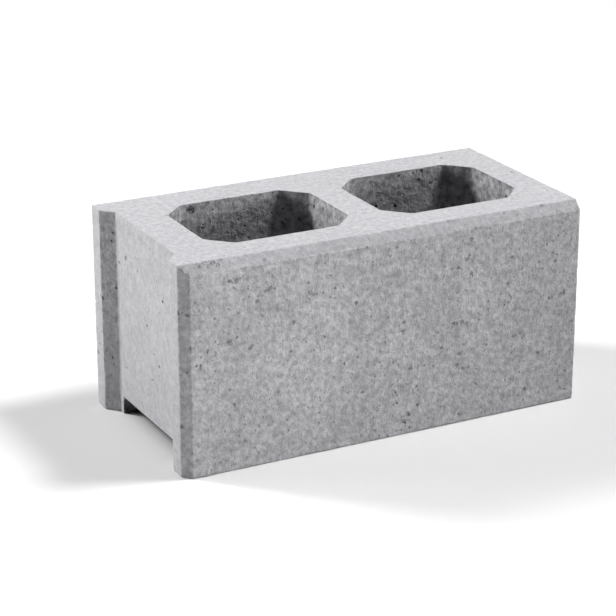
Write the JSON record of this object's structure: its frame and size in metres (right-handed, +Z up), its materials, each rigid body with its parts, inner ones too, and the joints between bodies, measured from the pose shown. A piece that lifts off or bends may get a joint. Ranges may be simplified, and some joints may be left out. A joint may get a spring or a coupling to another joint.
{
  "type": "concrete block",
  "caption": "Hollow concrete masonry block with open tapered cells, a bevelled front face, a plain end, an end recessed for mortar, and webs raised clear of the foot.",
  "frame": {"origin": "middle of the foot, on the surface the block stands on", "axes": "+Z up; X along the length, with the recessed end at -X; the bevelled front face looks along -Y"},
  "size_m": [0.39, 0.19, 0.19],
  "materials": {
    "concrete": "cast"
  },
  "bodies": {
    "root": {"concrete_block": "concrete"}
  },
  "joints": []
}
